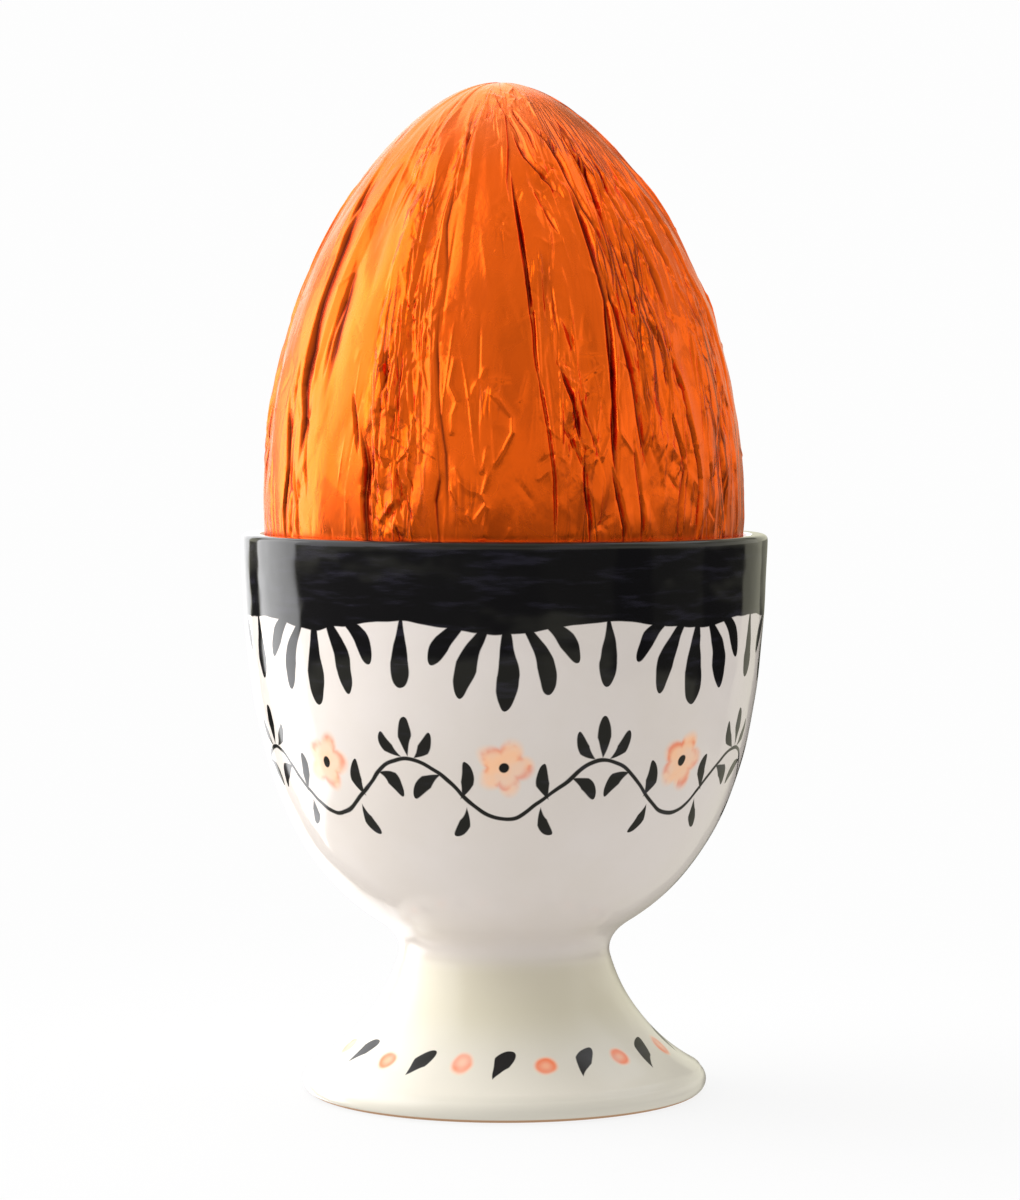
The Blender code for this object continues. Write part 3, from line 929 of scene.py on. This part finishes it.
def foil_material():
    """Orange lacquer over aluminium foil: a coloured metal under a thin clear coat, with painted
    shade in its hollows and creases and a painted sheen towards the tip.
    """
    material, graph, shader = new_material("orange_foil")
    place = graph.object_place()
    x, y, height = graph.split(place)
    azimuth = graph.azimuth(x, y)
    crumple = graph.attribute("crumple")
    stretched = graph.out(graph.add("ShaderNodeMapping", Vector=place, Scale=STRETCH))

    nearest = pleat_lines(graph, azimuth, height, stretched)
    gathered = graph.ramp(azimuth, *GATHERED_RIGHT) | graph.ramp(azimuth, *GATHERED_LEFT)
    gathered = gathered | graph.ramp(crumple, 0.1, 0.5, 0.0, 0.7)
    broken = graph.ramp(graph.noise(stretched, 170.0), 0.46, 0.62, 0.06, 1.0)
    folded = gathered * broken
    pleat = graph.ramp(nearest, 0.0, 0.15) * (folded * PLEAT_DEPTH)
    # Painted shade along the thin lines between the pleats.
    line_shade = graph.ramp(nearest, 0.075, 0.02) * folded
    crinkle = crinkles(graph, place, stretched, crumple)
    fine = graph.noise(stretched, FINE_SCALE) * FINE_DEPTH
    bump = graph.add("ShaderNodeBump", Strength=1.0, Distance=FOIL_BUMP,
                     Height=crinkle + fine + pleat)

    lacquer = graph.mix(graph.noise(place, 90.0, 3.0), LACQUER_DEEP, LACQUER_LIGHT)
    # Painted sheen: the foil turns paler towards the tip.
    tip_sheen = graph.ramp(height, *TIP_SHEEN_HEIGHTS) * TIP_SHEEN_SHARE
    lacquer = graph.mix(tip_sheen, lacquer, LACQUER_TIP_SHEEN)
    # Painted shade: hollows, fold depths and the thin lines are mixed towards the deep red-brown.
    hollow_shade = graph.attribute("hollow_shade") | line_shade * GAP_SHADE
    roughness = graph.mottle(place, 260.0, 3.0, 0.24, 0.31)
    graph.set(shader, Base_Color=graph.mix(hollow_shade, lacquer, HOLLOW_SHADE_COLOUR), Metallic=1.0,
              Roughness=roughness, Specular_Tint=LACQUER_EDGE, Coat_Weight=0.55,
              Coat_Roughness=0.3, Coat_IOR=1.28, Normal=graph.out(bump))
    return material


# Cup material

GLAZE_LIGHT = (0.69, 0.632, 0.595, 1.0)
GLAZE_WARM = (0.66, 0.60, 0.55, 1.0)
# Partly painted shade: the neck's darker colour stands in for the shade under the bowl, and its olive
# tint is that of glaze pooled there.
NECK_SHADE_AND_POOLED_GLAZE = (0.58, 0.535, 0.40, 1.0)
FOOT_GLAZE = (0.63, 0.595, 0.515, 1.0)
PEACH = (0.90, 0.52, 0.31, 1.0)
CORAL = (0.82, 0.20, 0.085, 1.0)
INK_BLACK = (0.0035, 0.0033, 0.0045, 1.0)
INK_GREY = (0.013, 0.012, 0.019, 1.0)
BARE_CLAY = (0.42, 0.24, 0.13, 1.0)

# Heights in metres between which the glaze changes: its colour on the foot, where the neck gets its
# painted shade and the tint of pooled glaze, its gloss on the foot, and its end above the foot ring.
FOOT_HEIGHTS = (0.0140, 0.0070)
NECK_SHADE_AND_POOL_STARTS = (0.0050, 0.0100)
NECK_SHADE_AND_POOL_ENDS = (0.0156, 0.0128)
SATIN_HEIGHTS = (0.0250, 0.0160)
CLAY_HEIGHTS = (0.00042, 0.00030)

# The painting is laid out flat, in equal cells round the axis: the belly's at BELLY_RADIUS
# and the foot's at FOOT_PAINT_RADIUS.
BELLY_RADIUS = 25.5
PAINT_CELL_DEGREES = 45.0
PAINT_EDGE = 0.07             # half the width of the paint's soft edge
SHAKE_ACROSS = 1.5            # how far the brush strays
SHAKE_UP = 1.3
RIM_BAND_Z = 47.9
RIM_BAND_SWING = 0.5
BARE_RADIUS = 24.8            # the bowl's inside, from here inwards, has no paint
BARE_EDGE = 0.2
BARE_HEIGHTS = (42.0, 43.0)
VINE_Z = 32.4
VINE_SWING = 2.9
VINE_HALF_WIDTH = 0.2
VINE_EDGE = 0.06
BLOSSOM_Z = 34.6
BLOSSOM_RADIUS = 2.7
FOOT_CELL_DEGREES = 30.0
FOOT_PAINT_RADIUS = 16.2
FOOT_PAINT_Z = 5.0
FOOT_SLOPE = 1.5
FOOT_DOT_RADIUS = 1.05

# Brush strokes in one cell: start across and up, angle in degrees, length, bow, width, and
# where it is widest. Those on the belly are mirrored about the cell's middle.
BELLY_LEAVES = (
    (0, 49.6, -90, 9.4, 0, 2.3, 0.66),
    (0.5, 49.6, -65, 9, 0.8, 2, 0.68),
    (1.4, 49.5, -41, 7.6, 0.9, 1.7, 0.70),
    (10, 49.6, -90, 7.4, 0, 1.8, 0.70),
    (4.6, 31.5, 100, 3.6, 0.5, 1.35, 0.45),
    (6.6, 33.8, -38, 3.6, 0.5, 1.35, 0.45),
    (3.9, 30.7, -62, 3.2, -0.4, 1.2, 0.45),
    (9.3, 35.4, 128, 3.2, 0.4, 1.2, 0.45),
    (10, 35.5, 90, 3.9, 0, 1.4, 0.50),
)
FOOT_LEAF = (-1.1, -1.7, 57.0, 4.0, 0.35, 1.75, 0.5)


def brush_stroke(x, y, start_x, start_y, angle, length, bow, width, peak):
    """1 on one brush stroke and 0 off it.

    The stroke starts pointed, is widest at peak (0 to 1 along it) and ends round, and bow
    bends it to one side.
    """
    do = x.graph.math
    sine = math.sin(math.radians(angle))
    cosine = math.cos(math.radians(angle))
    x = x - start_x
    y = y - start_y
    share = (x * cosine + y * sine) / length
    place = do("MINIMUM", share, 1.0) | 0.0
    left = 1.0 - place
    beside = y * cosine - x * sine - place * left * (4.0 * bow)
    beyond = (share - place) * length
    rising = do("MINIMUM", place / peak, 1.0)
    ending = do("MINIMUM", left / (1.0 - peak), 1.0)
    half = rising * do("SQRT", ending * (2.0 - ending)) * (0.5 * width)
    return x.graph.ramp(x.graph.distance(beside, beyond) - half, PAINT_EDGE, -PAINT_EDGE)


def cell_across(graph, azimuth, degrees, radius, stray):
    """Distance from the middle of the nearest cell."""
    inside = graph.math("WRAP", azimuth, 0.5 * degrees, -0.5 * degrees)
    return inside * math.radians(radius) + stray


def glaze_masks(graph, place):
    """Where the black, the peach wash and its coral blotches lie on the cup."""
    do = graph.math
    shake_x, shake_z = graph.split(graph.noise(place, 170.0, output="Color"))[:2]
    stray = (shake_x - 0.5) * SHAKE_ACROSS
    x, y, z = graph.split(place)
    azimuth = graph.azimuth(x, y)
    z = z / MM + (shake_z - 0.5) * SHAKE_UP

    # The band, the leaves and the vine.
    signed = cell_across(graph, azimuth, PAINT_CELL_DEGREES, BELLY_RADIUS, stray)
    across = abs(signed)
    turn = math.tau / (PAINT_CELL_DEGREES * math.radians(BELLY_RADIUS))
    swing = do("COSINE", across * turn)
    edge = swing * -RIM_BAND_SWING + RIM_BAND_Z
    black = graph.ramp(z - edge, -PAINT_EDGE, PAINT_EDGE)
    for leaf in BELLY_LEAVES:
        black = black | brush_stroke(across, z, *leaf)
    centre = swing * -VINE_SWING + VINE_Z
    slope = do("SINE", across * turn) * (VINE_SWING * turn)
    off = abs(z - centre) / do("SQRT", slope * slope + 1.0)
    black = black | graph.ramp(off, VINE_HALF_WIDTH + VINE_EDGE, VINE_HALF_WIDTH - VINE_EDGE)
    from_axis = graph.distance(x, y) / MM
    inner_wall = graph.ramp(from_axis, BARE_RADIUS, BARE_RADIUS - BARE_EDGE)
    black = black * (1.0 - inner_wall * graph.ramp(z, *BARE_HEIGHTS))

    # The blossoms: five petals round a dark eye.
    rise = z - BLOSSOM_Z
    petal = abs(do("COSINE", do("ARCTAN2", rise, signed) * 2.5))
    reach = graph.distance(signed, rise)
    share = reach / (petal * 0.8 + (BLOSSOM_RADIUS - 0.5))
    wash = graph.ramp(share, 1.10, 0.72)
    blotch = graph.ramp(abs(share - 0.80), 0.30, 0.0)
    blotch = blotch * graph.ramp(graph.noise(place, 520.0), 0.42, 0.62)
    black = black | graph.ramp(reach, 0.62, 0.46)

    # The leaves and the dots round the foot.
    across = cell_across(graph, azimuth, FOOT_CELL_DEGREES, FOOT_PAINT_RADIUS, stray * 0.6)
    up = (z - FOOT_PAINT_Z) * FOOT_SLOPE
    black = black | brush_stroke(across, up, *FOOT_LEAF)
    half_cell = 0.5 * FOOT_CELL_DEGREES * math.radians(FOOT_PAINT_RADIUS)
    reach = graph.distance(abs(across) - half_cell, up)
    dot = graph.ramp(reach, FOOT_DOT_RADIUS + 0.35, FOOT_DOT_RADIUS - 0.25)
    blotch = blotch | dot * graph.ramp(reach, 0.1, 0.8, 0.55, 1.0)
    return black, wash | dot, blotch


def cup_material():
    """Ivory glaze over hand painting in black, peach and coral; bare clay under the foot."""
    material, graph, shader = new_material("painted_glaze")
    place = graph.object_place()
    z = graph.split(place)[2]
    black, wash, blotch = glaze_masks(graph, place)
    mottled = graph.mottle(place, 60.0, 4.0, 0.0, 1.0, 0.6)
    glaze = graph.mix(mottled, GLAZE_LIGHT, GLAZE_WARM)
    glaze = graph.mix(graph.ramp(z, *FOOT_HEIGHTS), glaze, FOOT_GLAZE)
    # Painted shade under the bowl, with the olive tint of pooled glaze, darkens the neck.
    neck_shade_and_pool = graph.ramp(z, *NECK_SHADE_AND_POOL_STARTS) * graph.ramp(z, *NECK_SHADE_AND_POOL_ENDS)
    glaze = graph.mix(neck_shade_and_pool * 0.75, glaze, NECK_SHADE_AND_POOLED_GLAZE)
    thin = wash * graph.mottle(place, 380.0, 2.0, 0.6, 1.0)
    colour = graph.mix(thin, glaze, graph.mix(blotch, PEACH, CORAL))
    brushed = graph.add("ShaderNodeMapping", Vector=place, Rotation=(0.3, 0.5, 0.0),
                        Scale=(0.35, 0.35, 2.2))
    streaks = graph.ramp(graph.noise(graph.out(brushed), 420.0, 3.0, 0.6), 0.50, 0.72)
    colour = graph.mix(black, colour, graph.mix(streaks, INK_BLACK, INK_GREY))
    bare = graph.ramp(z, *CLAY_HEIGHTS)
    gloss = graph.ramp(z, *SATIN_HEIGHTS) * 0.11 + graph.mottle(place, 300.0, 3.0, 0.05, 0.09)
    bump = graph.add("ShaderNodeBump", Strength=0.5, Distance=0.00025,
                     Height=graph.noise(place, 150.0))
    graph.set(shader, Base_Color=graph.mix(bare, colour, BARE_CLAY), IOR=1.4,
              Roughness=gloss | bare * 0.8, Normal=graph.out(bump))
    return material


# Stage

WHITE = (1.0, 1.0, 1.0, 1.0)
CREAM = (1.0, 0.98, 0.76, 1.0)
BACKDROP = 0.985

# Light of the dim room round the object, as its shiny surfaces see it, and the azimuths
# and elevations between which one part gives way to the next.
AMBIENT_FRONT = 0.71
AMBIENT_SIDE = 0.75
AMBIENT_BEHIND = 0.50
AMBIENT_ABOVE = 0.90
AMBIENT_BELOW = 0.85
FRONT_TO_SIDE = (35.0, 75.0)
SIDE_TO_BEHIND = (95.0, 115.0)
LEVEL_TO_ABOVE = (30.0, 85.0)
BELOW_TO_LEVEL = (-25.0, -3.0)
HORIZON = -8.0                # elevation of a darker band
HORIZON_HALF_HEIGHTS = (3.2, 5.4)
HORIZON_SHARE = 0.22

# What each side of the room gives to matt surfaces, against what it gives to shiny ones.
SOFT_LEFT = 2.0
SOFT_FRONT = 0.84
SOFT_RIGHT = 1.16
LEFT_MIDDLE = -105.0
LEFT_REACH = (70.0, 15.0)
FRONT_TO_RIGHT = (35.0, 100.0)
TINTED_LIGHT = (1.8, 0.8)     # dim light is cream to shiny surfaces, and bright light white

# Soft boxes in the sky: (azimuth, elevation, half width, half height, edge, strength).
SOFT_BOXES = (
    (-119, 2, 15, 30, 4, 4.2),
    (-92, 32, 36, 20, 12, 2.6),
    (-88, 8, 24, 5, 4, 2.3),
    (0, 8, 190, 6, 4, 0.90),
    (180, 84, 200, 14, 10, 0.90),
    (-165, 48, 25, 22, 10, 2.2),
    (116, 52, 26, 13, 6, 1.6),
    (95, 9, 50, 8, 4, 1.06),
    (86, 40, 8, 34, 8, 1.2),
    (-166, 10, 14, 60, 4, 2.1),
    (141, 10, 11, 60, 4, 0.64),
)

# Darker parts of the room: (azimuth, elevation, half width, half height, edge, share kept).
DARK_PARTS = (
    (3, -2, 8, 30, 10, 0.72),
    (58, -6, 6, 8, 6, 0.50),
    (112, -6, 13, 8, 6, 0.40),
    (-142, 0, 5, 60, 5, 0.30),
    (164, 20, 9, 60, 4, 0.45),
)

FLOOR_RADIUS = 1.6
FLOOR_Z = -0.00005
FLOOR_GREY = (0.575, 0.575, 0.575, 1.0)
FLOOR_FADE = (0.03, 0.14)
FLOOR_GLOW = (0.87, 1.0)

CAMERA_PLACE = (0.0, -0.395, 0.0696)
CAMERA_DOWN = 2.95
CAMERA_TURN = -0.077
CAMERA_LENS = 118.5
CAMERA_SENSOR = 36.0


def patch(graph, azimuth, elevation, box):
    """1 inside a soft-edged box of the sky and 0 outside it."""
    middle, height, half_width, half_height, edge = box
    turn = graph.math("WRAP", azimuth - middle, 180.0, -180.0)
    across = graph.ramp(abs(turn), half_width + edge, half_width)
    return across * graph.ramp(abs(elevation - height), half_height + edge, half_height)


def room_light(graph, azimuth, elevation):
    """The room's light in a direction: dim, with darker parts and soft boxes."""
    turned = abs(azimuth)
    sideways = graph.ramp(turned, *FRONT_TO_SIDE, AMBIENT_FRONT, AMBIENT_SIDE)
    behind = graph.ramp(turned, *SIDE_TO_BEHIND, AMBIENT_SIDE, AMBIENT_BEHIND)
    upwards = graph.ramp(elevation, *LEVEL_TO_ABOVE, AMBIENT_FRONT, AMBIENT_ABOVE)
    light = graph.math("MINIMUM", sideways, behind) | upwards
    light = light * graph.ramp(elevation, *BELOW_TO_LEVEL, AMBIENT_BELOW, 1.0)
    level = abs(elevation - HORIZON)
    light = light * graph.ramp(level, *HORIZON_HALF_HEIGHTS, HORIZON_SHARE, 1.0)
    for *box, kept in DARK_PARTS:
        shade = patch(graph, azimuth, elevation, box)
        light = light * graph.ramp(shade, 0.0, 1.0, 1.0, kept)
    for *box, strength in SOFT_BOXES:
        light = light | patch(graph, azimuth, elevation, box) * strength
    return light


def make_sky():
    """White to the eye; to the object, a dim room with soft boxes round it."""
    world = bpy.data.worlds.new("studio")
    bpy.context.scene.world = world
    world.use_nodes = True
    world.node_tree.nodes.clear()
    graph = Graph(world.node_tree)
    rays = graph.add("ShaderNodeLightPath")
    x, y, z = graph.split(graph.out(graph.add("ShaderNodeTexCoord"), "Generated"))
    azimuth = graph.azimuth(x, y)
    elevation = graph.math("DEGREES", graph.math("ARCSINE", z))
    light = room_light(graph, azimuth, elevation)
    glossy = graph.out(rays, "Is Glossy Ray")
    dim = graph.ramp(light, *TINTED_LIGHT) * glossy
    soft = graph.ramp(abs(azimuth - LEFT_MIDDLE), *LEFT_REACH, SOFT_FRONT, SOFT_LEFT)
    soft = soft | graph.ramp(azimuth, *FRONT_TO_RIGHT, SOFT_FRONT, SOFT_RIGHT)
    light = light * (glossy * (1.0 - soft) + soft)
    lit = graph.add("ShaderNodeBackground", Color=graph.mix(dim, WHITE, CREAM), Strength=light)
    seen = graph.add("ShaderNodeBackground", Color=WHITE, Strength=BACKDROP)
    blend = graph.add("ShaderNodeMixShader", None, graph.out(rays, "Is Camera Ray"),
                      graph.out(lit), graph.out(seen))
    graph.add("ShaderNodeOutputWorld", None, graph.out(blend))


def make_floor():
    """A pale round floor that fades into the white backdrop."""
    bpy.ops.mesh.primitive_circle_add(vertices=128, radius=FLOOR_RADIUS, fill_type="NGON",
                                      location=(0.0, 0.0, FLOOR_Z))
    floor = bpy.context.object
    floor.name = "floor"
    material, graph, shader = new_material("pale_floor")
    far = graph.add("ShaderNodeVectorMath", {"operation": "LENGTH"}, graph.object_place())
    glow = graph.ramp(graph.out(far, "Value"), *FLOOR_FADE, *FLOOR_GLOW)
    graph.set(shader, Base_Color=FLOOR_GREY, Roughness=1.0)
    white = graph.add("ShaderNodeEmission", Color=WHITE, Strength=BACKDROP)
    blend = graph.add("ShaderNodeMixShader", None, glow, graph.out(shader), graph.out(white))
    graph.set(material.node_tree.nodes["Material Output"], Surface=graph.out(blend))
    floor.data.materials.append(material)
    floor.visible_glossy = False


def make_camera():
    """The camera straight in front of the cup, a little above its mouth."""
    camera = bpy.data.cameras.new("camera")
    camera.lens = CAMERA_LENS
    camera.sensor_width = CAMERA_SENSOR
    camera.clip_start = 0.01
    holder = bpy.data.objects.new("camera", camera)
    holder.location = CAMERA_PLACE
    holder.rotation_euler = (math.radians(90.0 - CAMERA_DOWN), 0.0, math.radians(CAMERA_TURN))
    bpy.context.scene.collection.objects.link(holder)
    bpy.context.scene.camera = holder


def main():
    scene = bpy.context.scene
    scene.view_settings.view_transform = "Standard"
    scene.view_settings.look = "None"
    make_camera()
    make_sky()
    make_floor()
    cup = make_cup()
    cup.data.materials.append(cup_material())
    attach(cup, "root")
    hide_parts("egg_cup")
    foil = make_foil()
    foil.data.materials.append(foil_material())
    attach(foil, "root")
    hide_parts("foil_egg")


main()
